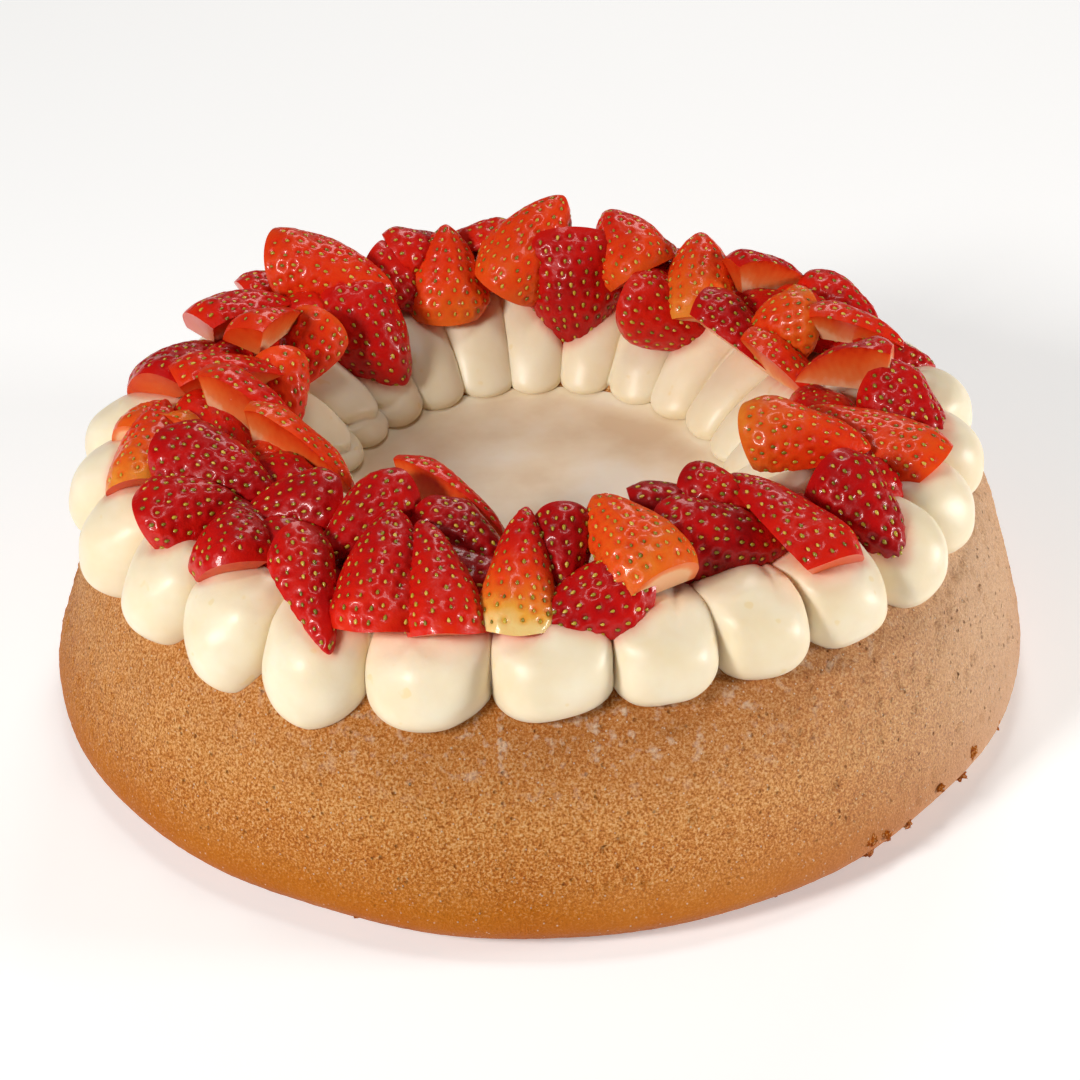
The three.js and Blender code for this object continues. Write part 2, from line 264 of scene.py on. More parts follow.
def close_up(piece):
    """Joins vertices that meet and turns all faces outward."""
    pick(piece)
    bpy.ops.object.mode_set(mode="EDIT")
    bpy.ops.mesh.select_all(action="SELECT")
    bpy.ops.mesh.remove_doubles(threshold=MEETING_GAP)
    bpy.ops.mesh.normals_make_consistent(inside=False)
    bpy.ops.object.mode_set(mode="OBJECT")


def joined(pieces, name):
    deselect()
    for piece in pieces:
        piece.select_set(True)
    bpy.context.view_layer.objects.active = pieces[0]
    bpy.ops.object.join()
    pieces[0].name = name
    return pieces[0]


def spin_lines(piece, lines, axis, angle, steps):
    """Turns chosen lines of vertices round an axis through the origin."""
    mesh = piece.data
    ends = np.empty(len(mesh.edges) * 2, int)
    mesh.edges.foreach_get("vertices", ends)
    ends = ends.reshape(-1, 2)
    picked = np.zeros(len(ends), bool)
    for line in lines:
        picked |= line[ends].all(axis=1)
    corners = np.zeros(len(mesh.vertices), bool)
    corners[ends[picked].ravel()] = True
    pick(piece)
    bpy.ops.object.mode_set(mode="EDIT")
    bpy.ops.mesh.select_mode(type="EDGE")
    bpy.ops.mesh.select_all(action="DESELECT")
    bpy.ops.object.mode_set(mode="OBJECT")
    mesh.vertices.foreach_set("select", corners)
    mesh.edges.foreach_set("select", picked)
    bpy.ops.object.mode_set(mode="EDIT")
    bpy.ops.mesh.spin(steps=steps, angle=angle, center=(0, 0, 0), axis=axis)
    bpy.ops.object.mode_set(mode="OBJECT")


def turn_round(piece, steps):
    """Turns a line of vertices a full circle round the Z axis."""
    pick(piece)
    screw = piece.modifiers.new("turn", "SCREW")
    screw.axis = "Z"
    screw.steps = steps
    screw.render_steps = steps
    screw.use_merge_vertices = True
    screw.merge_threshold = 1e-6
    bpy.ops.object.modifier_apply(modifier="turn")


def through(points, at, closed=False):
    """Smooth curve through points, at places counted in points along it."""
    points = np.array(points, float)
    whole = np.floor(at).astype(int)
    part = (at - whole)[:, None]
    last = len(points) - 1

    def near(step):
        index = whole + step
        return points[index % (last + 1)] if closed else points[np.clip(index, 0, last)]

    before, start, end, after = near(-1), near(0), near(1), near(2)
    return start + 0.5 * part * (
        end - before
        + part * (2 * before - 5 * start + 4 * end - after + part * (3 * start - before - 3 * end + after))
    )


def copies(template, matrices):
    """One mesh piece with a copy of the template piece's mesh at each matrix."""
    points = np.column_stack([places(template), np.ones(len(template.data.vertices))])
    faces = np.array([face.vertices[:] for face in template.data.polygons])
    spots = np.concatenate([(points @ np.array(matrix).T)[:, :3] for matrix in matrices])
    corners = np.concatenate([faces + i * len(points) for i in range(len(matrices))])
    mesh = bpy.data.meshes.new("copies")
    mesh.from_pydata(spots, [], corners)
    mesh.polygons.foreach_set("use_smooth", np.ones(len(corners), bool))
    piece = bpy.data.objects.new("copies", mesh)
    bpy.context.scene.collection.objects.link(piece)
    return piece


def tree_of(points):
    """Search tree of points, each under its own index."""
    tree = KDTree(len(points))
    for i, point in enumerate(points):
        tree.insert(point, i)
    tree.balance()
    return tree


def remove(piece):
    mesh = piece.data
    bpy.data.objects.remove(piece)
    bpy.data.meshes.remove(mesh)


# Material helpers

def colour(hex_text):
    """An sRGB hex colour as linear red, green, blue and alpha."""
    shares = [int(hex_text[i:i + 2], 16) / 255 for i in (1, 3, 5)]
    return (*(s / 12.92 if s <= 0.04045 else ((s + 0.055) / 1.055) ** 2.4 for s in shares), 1.0)


def new_material(name, **settings):
    material = bpy.data.materials.new(name)
    material.use_nodes = True
    shader = material.node_tree.nodes["Principled BSDF"]
    for socket, value in settings.items():
        shader.inputs[socket.replace("_", " ")].default_value = value
    return material, shader


def add(material, kind, inputs=None, stops=None, **settings):
    """Adds a node with its settings, its inputs as values or links, and any colour stops."""
    tree = material.node_tree
    node = tree.nodes.new(kind)
    for name, value in settings.items():
        setattr(node, name, value)
    for socket, value in (inputs or {}).items():
        if isinstance(value, bpy.types.NodeSocket):
            tree.links.new(value, node.inputs[socket])
        else:
            node.inputs[socket].default_value = value
    if stops:
        while len(node.color_ramp.elements) < len(stops):
            node.color_ramp.elements.new(1)
        for element, (place, shade) in zip(node.color_ramp.elements, stops):
            element.position = place
            element.color = colour(shade)
    return node


def join_socket(material, output, shader, socket):
    material.node_tree.links.new(output, shader.inputs[socket])


def per_mm(size):
    """Texture scale that gives features of a size in millimetres."""
    return 1 / (size * MM)


# Materials

def sponge_crust():
    """Baked sponge soaked with milk: fine open crumb, grain tops partly painted light and gaps partly
    painted shade, pores painted dark as shade, painted damp glints.
    """
    material, shader = new_material("milk_soaked_sponge_crust", IOR=1.4, Specular_IOR_Level=0.2)
    where = add(material, "ShaderNodeTexCoord").outputs["Object"]
    wet = add(material, "ShaderNodeAttribute", attribute_name="wet").outputs["Fac"]
    openness = add(material, "ShaderNodeAttribute", attribute_name="openness").outputs["Fac"]

    # Bake: golden orange band at the foot, light brown above
    height = add(material, "ShaderNodeSeparateXYZ", {0: where}).outputs["Z"]
    drift = add(material, "ShaderNodeTexNoise", {"Vector": where, "Scale": per_mm(26), "Detail": 3})
    level = add(
        material, "ShaderNodeMath", {0: drift.outputs["Fac"], 1: 0.012, 2: height},
        operation="MULTIPLY_ADD",
    ).outputs[0]
    share = add(material, "ShaderNodeMapRange", {0: level, 1: 0.006, 2: 0.081, 3: 0.0, 4: 1.0}).outputs[0]
    baked = add(
        material, "ShaderNodeValToRGB", {0: share},
        stops=[(0.0, "#a64f06"), (0.10, "#c66a08"), (0.22, "#d37c14"), (0.34, "#e09541"), (0.55, "#ebaa60"),
               (0.80, "#e8a761"), (1.0, "#d99852")],
    ).outputs["Color"]

    # Crumb: pale grain tops and darker gaps, partly the crumb's own tone and partly painted light on the
    # tops and painted shade in the gaps, and round pores in some cells
    grain = add(
        material, "ShaderNodeTexNoise",
        {"Vector": where, "Scale": per_mm(0.75), "Detail": 4, "Roughness": 0.65},
    ).outputs["Fac"]
    # Painted shade in the grain's gaps and painted light on its tops, over the crumb's own tone
    gap_shade = add(
        material, "ShaderNodeValToRGB", {0: grain},
        stops=[(0.30, "#a26c38"), (0.46, "#e4c49a"), (0.56, "#ffffff")],
    ).outputs["Color"]
    gapped = add(
        material, "ShaderNodeMix", {0: openness, 6: baked, 7: gap_shade},
        data_type="RGBA", blend_type="MULTIPLY",
    ).outputs[2]
    lit_tops = add(material, "ShaderNodeMapRange", {0: grain, 1: 0.54, 2: 0.70, 3: 0.0, 4: 0.7}).outputs[0]
    top_share = add(material, "ShaderNodeMath", {0: lit_tops, 1: openness}, operation="MULTIPLY").outputs[0]
    toned = add(
        material, "ShaderNodeMix", {0: top_share, 6: gapped, 7: colour("#fbd8a8")}, data_type="RGBA",
    ).outputs[2]
    pale = add(material, "ShaderNodeAttribute", attribute_name="pale").outputs["Fac"]
    pale_share = add(material, "ShaderNodeMath", {0: pale, 1: 0.6}, operation="MULTIPLY").outputs[0]
    lightened = add(
        material, "ShaderNodeMix", {0: pale_share, 6: toned, 7: colour("#f2d0b0")}, data_type="RGBA",
    ).outputs[2]
    cells = add(material, "ShaderNodeTexVoronoi", {"Vector": where, "Scale": per_mm(2.3)})
    chance = add(material, "ShaderNodeSeparateColor", {0: cells.outputs["Color"]}).outputs[0]
    odds = add(
        material, "ShaderNodeMath", {0: pale, 1: 0.2, 2: chance}, operation="MULTIPLY_ADD",
    ).outputs[0]
    chosen = add(material, "ShaderNodeMapRange", {0: odds, 1: 0.82, 2: 0.88, 3: 0.0, 4: 1.0}).outputs[0]
    round_pore = add(
        material, "ShaderNodeMapRange", {0: cells.outputs["Distance"], 1: 0.08, 2: 0.28, 3: 1.0, 4: 0.0},
    ).outputs[0]
    open_pore = add(material, "ShaderNodeMath", {0: round_pore, 1: chosen}, operation="MULTIPLY").outputs[0]
    pore = add(material, "ShaderNodeMath", {0: open_pore, 1: openness}, operation="MULTIPLY").outputs[0]
    pore_shade_share = add(material, "ShaderNodeMath", {0: pore, 1: 0.6}, operation="MULTIPLY").outputs[0]
    # Painted shade: the open pores are coloured dark brown, standing in for the shadow inside each hole
    pore_shaded = add(
        material, "ShaderNodeMix", {0: pore_shade_share, 6: lightened, 7: colour("#7d4312")}, data_type="RGBA",
    ).outputs[2]

    # Milk: a darker soaked zone with pale weeping patches, partly milk and partly painted wet sheen, and
    # tiny painted glints all over, pale specks standing in for highlights
    soak_share = add(material, "ShaderNodeMath", {0: wet, 1: 0.45}, operation="MULTIPLY").outputs[0]
    soaked = add(
        material, "ShaderNodeMix", {0: soak_share, 6: pore_shaded, 7: colour("#a2581a")}, data_type="RGBA",
    ).outputs[2]
    weep = add(
        material, "ShaderNodeTexNoise", {"Vector": where, "Scale": per_mm(3.4), "Detail": 4},
    ).outputs["Fac"]
    wept = add(material, "ShaderNodeMapRange", {0: weep, 1: 0.55, 2: 0.70, 3: 0.0, 4: 0.6}).outputs[0]
    weep_and_sheen_patch = add(material, "ShaderNodeMath", {0: wept, 1: wet}, operation="MULTIPLY").outputs[0]
    # Painted glints: pale dots in chosen cells stand in for highlights on the wet crumb
    specks = add(material, "ShaderNodeTexVoronoi", {"Vector": where, "Scale": per_mm(1.9)})
    luck = add(material, "ShaderNodeSeparateColor", {0: specks.outputs["Color"]}).outputs[1]
    lucky = add(material, "ShaderNodeMapRange", {0: luck, 1: 0.40, 2: 0.60, 3: 0.0, 4: 0.8}).outputs[0]
    dot = add(
        material, "ShaderNodeMapRange", {0: specks.outputs["Distance"], 1: 0.08, 2: 0.18, 3: 1.0, 4: 0.0},
    ).outputs[0]
    painted_glint = add(material, "ShaderNodeMath", {0: dot, 1: lucky}, operation="MULTIPLY").outputs[0]
    milk_and_painted_sheen = add(material, "ShaderNodeMath", {0: weep_and_sheen_patch, 1: painted_glint}, operation="MAXIMUM").outputs[0]
    # Pale colour mixed in for the weeping patches and the glints: partly milk, partly painted sheen and
    # painted highlight
    dressed = add(
        material, "ShaderNodeMix", {0: milk_and_painted_sheen, 6: soaked, 7: colour("#f4e2cb")}, data_type="RGBA",
    ).outputs[2]
    join_socket(material, dressed, shader, "Base Color")

    drier = add(material, "ShaderNodeMapRange", {0: wet, 1: 0.0, 2: 1.0, 3: 0.5, 4: 0.36}).outputs[0]
    dullness = add(
        material, "ShaderNodeMath", {0: milk_and_painted_sheen, 1: -0.32, 2: drier}, operation="MULTIPLY_ADD",
    ).outputs[0]
    join_socket(material, dullness, shader, "Roughness")
    raised = add(
        material, "ShaderNodeMath", {0: milk_and_painted_sheen, 1: 0.4, 2: grain}, operation="MULTIPLY_ADD",
    ).outputs[0]
    relief = add(
        material, "ShaderNodeMath", {0: pore, 1: -0.8, 2: raised}, operation="MULTIPLY_ADD",
    ).outputs[0]
    bump = add(material, "ShaderNodeBump", {"Strength": 1.0, "Distance": 0.0012, "Height": relief})
    join_socket(material, bump.outputs[0], shader, "Normal")
    return material


def whipped_cream():
    """Whipped dairy cream piped through a round nozzle: ivory, satin, light soaks in."""
    material, shader = new_material(
        "piped_whipped_cream", Roughness=0.42, IOR=1.4, Subsurface_Weight=0.4,
        Subsurface_Radius=(0.005, 0.004, 0.0026), Subsurface_Scale=1.0,
        Coat_Weight=0.16, Coat_Roughness=0.28,
    )
    where = add(material, "ShaderNodeTexCoord").outputs["Object"]
    cloud = add(
        material, "ShaderNodeTexNoise", {"Vector": where, "Scale": per_mm(14), "Detail": 3},
    ).outputs["Fac"]
    ivory = add(
        material, "ShaderNodeValToRGB", {0: cloud},
        stops=[(0.3, "#efddba"), (0.55, "#f3e4c6"), (0.75, "#f6ead0")],
    ).outputs["Color"]
    fat = add(
        material, "ShaderNodeTexNoise", {"Vector": where, "Scale": per_mm(5), "Detail": 1},
    ).outputs["Fac"]
    fleck = add(material, "ShaderNodeMapRange", {0: fat, 1: 0.71, 2: 0.76, 3: 0.0, 4: 0.4}).outputs[0]
    flecked = add(
        material, "ShaderNodeMix", {0: fleck, 6: ivory, 7: colour("#ecd089")}, data_type="RGBA",
    ).outputs[2]
    stain = add(material, "ShaderNodeAttribute", attribute_name="juice").outputs["Fac"]
    tinted = add(
        material, "ShaderNodeMix", {0: stain, 6: flecked, 7: colour("#e8876c")}, data_type="RGBA",
    ).outputs[2]
    join_socket(material, tinted, shader, "Base Color")
    fine = add(
        material, "ShaderNodeTexNoise", {"Vector": where, "Scale": per_mm(3.2), "Detail": 2},
    ).outputs["Fac"]
    bump = add(material, "ShaderNodeBump", {"Strength": 0.25, "Distance": 0.0004, "Height": fine})
    join_socket(material, bump.outputs[0], shader, "Normal")
    return material


def soaked_cream():
    """Cream levelled in the well and soaked with sweet milk: beige, satin, faint spoon sweeps."""
    material, shader = new_material(
        "milk_soaked_cream", Roughness=0.36, IOR=1.4, Subsurface_Weight=0.3,
        Subsurface_Radius=(0.005, 0.0035, 0.002), Subsurface_Scale=1.0,
    )
    where = add(material, "ShaderNodeTexCoord").outputs["Object"]
    sweeps = add(
        material, "ShaderNodeTexWave",
        {"Vector": where, "Scale": per_mm(150), "Distortion": 3.0, "Detail": 3, "Detail Scale": 1.2},
        wave_type="RINGS", rings_direction="Z",
    ).outputs["Fac"]
    cloud = add(
        material, "ShaderNodeTexNoise", {"Vector": where, "Scale": per_mm(24), "Detail": 4},
    ).outputs["Fac"]
    mixed = add(
        material, "ShaderNodeMath", {0: sweeps, 1: 0.18, 2: cloud}, operation="MULTIPLY_ADD",
    ).outputs[0]
    beige = add(
        material, "ShaderNodeValToRGB", {0: mixed},
        stops=[(0.40, "#e4cba8"), (0.58, "#efdcbd"), (0.80, "#f7ead4")],
    ).outputs["Color"]
    join_socket(material, beige, shader, "Base Color")
    bump = add(material, "ShaderNodeBump", {"Strength": 0.15, "Distance": 0.0006, "Height": mixed})
    join_socket(material, bump.outputs[0], shader, "Normal")
    return material


def berry_skin():
    """Ripe strawberry skin, wet with juice: thin, glossy, from pale yellow through orange to red."""
    material, shader = new_material(
        "strawberry_skin", Roughness=0.36, IOR=1.4, Specular_IOR_Level=0.25, Subsurface_Weight=0.12,
        Subsurface_Radius=(0.003, 0.0005, 0.0003), Subsurface_Scale=1.0,
        Coat_Weight=0.25, Coat_Roughness=0.08,
    )
    where = add(material, "ShaderNodeTexCoord").outputs["Object"]
    # Ripeness of the skin, which also carries painted shade darkening the skin in the seed dimples
    ripe = add(material, "ShaderNodeAttribute", attribute_name="ripeness_and_dimple_shade").outputs["Fac"]
    cloud = add(
        material, "ShaderNodeTexNoise", {"Vector": where, "Scale": per_mm(9), "Detail": 3},
    ).outputs["Fac"]
    shifted = add(
        material, "ShaderNodeMath", {0: cloud, 1: 0.26, 2: ripe}, operation="MULTIPLY_ADD",
    ).outputs[0]
    centred = add(material, "ShaderNodeMath", {0: shifted, 1: 0.13}, operation="SUBTRACT").outputs[0]
    red = add(
        material, "ShaderNodeValToRGB", {0: centred},
        stops=[(0.0, "#ecd18c"), (0.16, "#e8a23c"), (0.34, "#e46a1c"), (0.52, "#e6420f"), (0.68, "#d61f0a"),
               (0.84, "#bc0c0b"), (1.0, "#8c050a")],
    ).outputs["Color"]
    join_socket(material, red, shader, "Base Color")
    fine = add(
        material, "ShaderNodeTexNoise", {"Vector": where, "Scale": per_mm(1.1), "Detail": 3},
    ).outputs["Fac"]
    bump = add(material, "ShaderNodeBump", {"Strength": 0.6, "Distance": 0.0003, "Height": fine})
    join_socket(material, bump.outputs[0], shader, "Normal")
    return material


def berry_flesh():
    """Knife-cut strawberry flesh: moist, red under the skin, salmon within, pale at the core."""
    material, shader = new_material(
        "cut_strawberry_flesh", Roughness=0.33, IOR=1.38, Subsurface_Weight=0.25,
        Subsurface_Radius=(0.004, 0.0014, 0.0008), Subsurface_Scale=1.0,
        Coat_Weight=0.25, Coat_Roughness=0.12,
    )
    where = add(material, "ShaderNodeTexCoord").outputs["Object"]
    depth = add(material, "ShaderNodeAttribute", attribute_name="depth").outputs["Fac"]
    vein = add(material, "ShaderNodeAttribute", attribute_name="vein").outputs["Fac"]
    cloud = add(
        material, "ShaderNodeTexNoise", {"Vector": where, "Scale": per_mm(3.5), "Detail": 3},
    ).outputs["Fac"]
    mottled = add(
        material, "ShaderNodeMath", {0: cloud, 1: 0.3, 2: depth}, operation="MULTIPLY_ADD",
    ).outputs[0]
    veined = add(
        material, "ShaderNodeMath", {0: vein, 1: 0.06, 2: mottled}, operation="MULTIPLY_ADD",
    ).outputs[0]
    salmon = add(
        material, "ShaderNodeValToRGB", {0: veined},
        stops=[(0.12, "#c31a08"), (0.26, "#dc4312"), (0.50, "#e66326"), (0.78, "#ea8346"),
               (1.05, "#f0b98c")],
    ).outputs["Color"]
    join_socket(material, salmon, shader, "Base Color")
    bump = add(material, "ShaderNodeBump", {"Strength": 0.3, "Distance": 0.0005, "Height": veined})
    join_socket(material, bump.outputs[0], shader, "Normal")
    return material


def berry_seed():
    """Strawberry achene: small hard dry fruit, straw yellow to olive, waxy."""
    material, shader = new_material(
        "strawberry_achene", Roughness=0.3, IOR=1.45, Coat_Weight=0.3, Coat_Roughness=0.1,
    )
    ripe = add(material, "ShaderNodeAttribute", attribute_name="ripeness_and_dimple_shade").outputs["Fac"]
    straw = add(
        material, "ShaderNodeValToRGB", {0: ripe},
        stops=[(0.0, "#6f6a14"), (0.35, "#a08d1e"), (0.7, "#c3a72c"), (1.0, "#d8b94a")],
    ).outputs["Color"]
    join_socket(material, straw, shader, "Base Color")
    return material


# Sponge

def angle_from(clock, middle):
    """Degrees from a middle clock angle, for angles in radians."""
    return (np.degrees(clock) - middle + 540) % 360 - 180


def make_sponge(material):
    """Turned from its profile, then waved, pitted and grained like a baked crust."""
    fine = through(SPONGE_WALL, np.linspace(0, len(SPONGE_WALL) - 1.001, 900))
    walked = np.concatenate([[0], np.cumsum(np.linalg.norm(np.diff(fine, axis=0), axis=1))])
    hidden_from = walked[np.argmax(fine[:, 0] < HIDDEN_RADIUS)]
    rows = np.concatenate([np.arange(0, hidden_from, 1.0), np.linspace(hidden_from, walked[-1], 34)])
    line = np.column_stack([np.interp(rows, walked, fine[:, k]) for k in (0, 1)])
    foot = np.linspace(0, SPONGE_WALL[0][0], 12)[:-1]
    floor = np.linspace(SPONGE_WALL[-1][0], 0, 5)[1:]
    line = np.concatenate([
        np.column_stack([foot, np.zeros_like(foot)]), line,
        np.column_stack([floor, np.full_like(floor, SPONGE_WALL[-1][1])]),
    ]) * MM
    mesh = bpy.data.meshes.new("sponge_crumb")
    mesh.from_pydata(
        np.column_stack([line[:, 0], np.zeros(len(line)), line[:, 1]]),
        [(i, i + 1) for i in range(len(line) - 1)], [],
    )
    sponge = bpy.data.objects.new("sponge_crumb", mesh)
    bpy.context.scene.collection.objects.link(sponge)
    turn_round(sponge, SPONGE_COLUMNS)
    close_up(sponge)
    points = places(sponge)
    clock = np.arctan2(points[:, 1], points[:, 0])
    out = np.hypot(points[:, 0], points[:, 1])
    outside = (out > 0.09) & (points[:, 2] > 0.0002)
    wall = outside & (out > 0.125)

    # Uneven bake: long waves round the wall
    waves = np.zeros(len(points))
    for turns, tilt, size, start in BAKE_WAVES:
        waves += size * np.sin(turns * clock + tilt * points[:, 2] + start)
    low_left = np.exp(-((angle_from(clock, BULGE_CLOCK) / 24) ** 2) - ((points[:, 2] / MM - 13) / 13) ** 2)
    waves += BULGE * low_left
    heights = np.where(wall, waves * MM * np.clip(points[:, 2] / 0.006, 0, 1), 0)
    raise_surface(sponge, heights)

    # Burst pores, thickest under the cream on the right
    rng = random.Random(11)
    points = places(sponge)
    tree = tree_of(points)
    pits = np.zeros(len(points))
    for _ in range(PIT_TRIES):
        angle = math.radians(rng.uniform(0, 360))
        z = rng.uniform(6, 70)
        lean = math.exp(-((math.degrees(angle) - PIT_CLOCK) / 30) ** 2)
        under_cream = math.exp(-((z - 58) / 16) ** 2)
        half_way = math.exp(-((z - 30) / 14) ** 2)
        crowding = 0.12 + 0.55 * lean * under_cream + 0.12 * half_way
        if z < BAND_TOP:
            crowding = 0.03
        if rng.random() > crowding:
            continue
        radius = rng.uniform(0.9, 1.5) * (1.0 + 0.5 * lean) * MM
        depth = rng.uniform(0.5, 1.2) * (1.0 + 0.4 * lean) * MM
        wall_out = np.interp(z, [p[1] for p in SPONGE_WALL[:9]], [p[0] for p in SPONGE_WALL[:9]]) * MM
        spot = Vector((wall_out * math.cos(angle), wall_out * math.sin(angle), z * MM))
        for _, index, distance in tree.find_range(spot, 2.4 * radius):
            pits[index] = max(pits[index], depth * math.exp(-((distance / radius) ** 2)))
    raise_surface(sponge, np.where(wall, -pits, 0))

    # Where milk soaks out under the cream, and how open the crumb is
    front = np.exp(-((angle_from(clock, SOAK_CLOCK) / 40) ** 2))
    store(sponge, "wet", front * np.clip((points[:, 2] / MM - 42) / 24, 0, 1))
    store(sponge, "pale", np.exp(-((angle_from(clock, PALE_CLOCK) / 30) ** 2)))
    store(sponge, "openness", np.clip((points[:, 2] / MM - 9) / 18, 0.12, 1))

    # Crumb: coarse and fine grain over the whole crust, faint on the smooth lower band
    group = sponge.vertex_groups.new(name="crust")
    band = np.clip((points[:, 2] / MM - 6) / 14, 0.25, 1)
    for index in np.nonzero(outside)[0]:
        group.add([int(index)], float(band[index]), "REPLACE")
    for name, size, strength in (("coarse_crumb", 5.0, 0.9), ("fine_crumb", 1.9, 0.75)):
        texture = bpy.data.textures.new(name, "CLOUDS")
        texture.noise_scale = size * MM
        texture.noise_depth = 2
        modifier = sponge.modifiers.new(name, "DISPLACE")
        modifier.texture = texture
        modifier.texture_coords = "LOCAL"
        modifier.vertex_group = "crust"
        modifier.strength = strength * MM
        modifier.mid_level = 0.5
        pick(sponge)
        bpy.ops.object.modifier_apply(modifier=name)
    sponge.vertex_groups.clear()
    bpy.ops.object.shade_smooth()
    sponge.data.materials.append(material)
    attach(sponge, "root")
    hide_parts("sponge")


def make_crumbs(material):
    """Torn crumbs half sunk in the lower edge, the largest at the front right."""
    rng = random.Random(5)
    deselect()
    bpy.ops.mesh.primitive_ico_sphere_add(subdivisions=3, radius=1)
    lump = bpy.context.object
    lump_points = places(lump)
    for along, size in (((3.1, 1.7, 2.3), 0.22), ((-2.2, 5.6, 3.7), 0.14), ((7.5, -4.1, 6.3), 0.09)):
        lump_points *= (1 + size * np.sin(lump_points @ np.array(along) * 1.6 + 0.6))[:, None]
    move_to(lump, lump_points)
    heights, outs = zip(*[(z, out) for out, z in SPONGE_WALL[:5]])
    matrices = []
    for i in range(CRUMBS):
        torn = i < TORN_CRUMBS
        clock = math.radians(rng.gauss(TORN_CLOCK, 15) if torn else rng.uniform(0, 360))
        z = rng.uniform(2, 16) if torn else rng.uniform(1, 6)
        size = rng.uniform(0.8, 1.9) if torn else rng.uniform(0.5, 1.1)
        out = np.interp(z, heights, outs) - 0.6 * size
        turn = Euler([rng.uniform(0, math.tau) for _ in range(3)]).to_matrix().to_4x4()
        stretch = Matrix.Diagonal((size * MM * 1.3, size * MM, size * MM * 0.8, 1))
        spot = Vector((out * math.cos(clock), out * math.sin(clock), max(z, 2.2 * size))) * MM
        matrices.append(Matrix.Translation(spot) @ turn @ stretch)
    crumbs = copies(lump, matrices)
    remove(lump)
    crumbs.name = "sponge_crumbs"
    store(crumbs, "openness", np.ones(len(crumbs.data.vertices)))
    crumbs.data.materials.append(material)
    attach(crumbs, "root")


# Cream

def fold_angles(ring):
    """Start and end angle of each bulb, the bulbs near the front taking a larger share."""
    bulbs = ring["bulbs"]
    shares = []
    for i in range(bulbs):
        from_front = (ring["first_fold"] + (i + 0.5) * 360 / bulbs - FRONT_CLOCK + 540) % 360 - 180
        shares.append(1 + ring["broadening"] * math.exp(-((from_front / 18) ** 2)))
    ends = ring["first_fold"] + np.concatenate([[0], np.cumsum(shares)]) * 360 / sum(shares)
    return list(zip(ends[:-1], ends[1:]))


def round_about(pairs, clock):
    """Value at a clock angle between (clock, value) pairs that go full circle."""
    return np.interp(clock, *zip(*pairs), period=360)


def crust_height(radius):
    return np.interp(radius, CRUST_RADII, CRUST_HEIGHTS)


def piped_ring(name, ring):
    """A small circle spun into a ring, each turn of it then shaped as a section of a piped bulb."""
    at = []
    for stop, count in ring["rows"]:
        at.extend(np.linspace(math.ceil(at[-1]) if at else 0, stop, count, endpoint=False))
    at = np.array(at)
    columns, rows = ring["columns"], len(at)
    turns = ring["bulbs"] * columns
    deselect()
    bpy.ops.mesh.primitive_circle_add(
        vertices=rows, radius=0.3, location=(1, 0, 0), rotation=(math.pi / 2, 0, 0),
    )
    piece = bpy.context.object
    piece.name = name
    bpy.ops.object.transform_apply()
    turn_round(piece, turns)
    close_up(piece)
    spun = places(piece)
    turn = np.arctan2(spun[:, 1], spun[:, 0]) / math.tau * turns
    row = np.arctan2(spun[:, 2], np.hypot(spun[:, 0], spun[:, 1]) - 1) / math.tau * rows

    ridge = through(ring["ridge"], at, closed=True)
    fold = through(ring["fold"], at, closed=True)
    crest = ridge[:, 1].max()
    foot = np.argmin(np.abs(at - ring["foot_row"]))
    sections = []
    for start, end in fold_angles(ring):
        for j in range(columns):
            across = -math.cos(math.pi * j / columns)
            swell = (1 - across**2) ** ring["fullness"]
            clock = start + (end - start) * (across + 1) / 2
            line = fold + (ridge - fold) * swell
            reach = (round_about(ring["reaches"], clock) - TAIL_RADIUS) / (ring["reach"] - TAIL_RADIUS)
            out = TAIL_RADIUS + (line[:, 0] - TAIL_RADIUS) * reach
            foot_out = TAIL_RADIUS + (ridge[foot, 0] - TAIL_RADIUS) * reach
            drop = (crust_height(foot_out) - crust_height(ridge[foot, 0])) * swell
            hung = drop * (crest - line[:, 1]) / (crest - line[foot, 1])
            squat = CROWN + (line[:, 1] - CROWN) * round_about(ring["heights"], clock)
            lift = crust_height(out) - crust_height(line[:, 0])
            height = np.minimum(line[:, 1], squat) + np.where(np.arange(rows) < foot, lift, hung)
            turned = math.radians(clock)
            sections.append(np.column_stack([out * math.cos(turned), out * math.sin(turned), height]))
    at_turn = np.round(turn).astype(int) % turns
    at_row = np.round(row).astype(int) % rows
    move_to(piece, np.array(sections)[at_turn, at_row] * MM)
    return piece


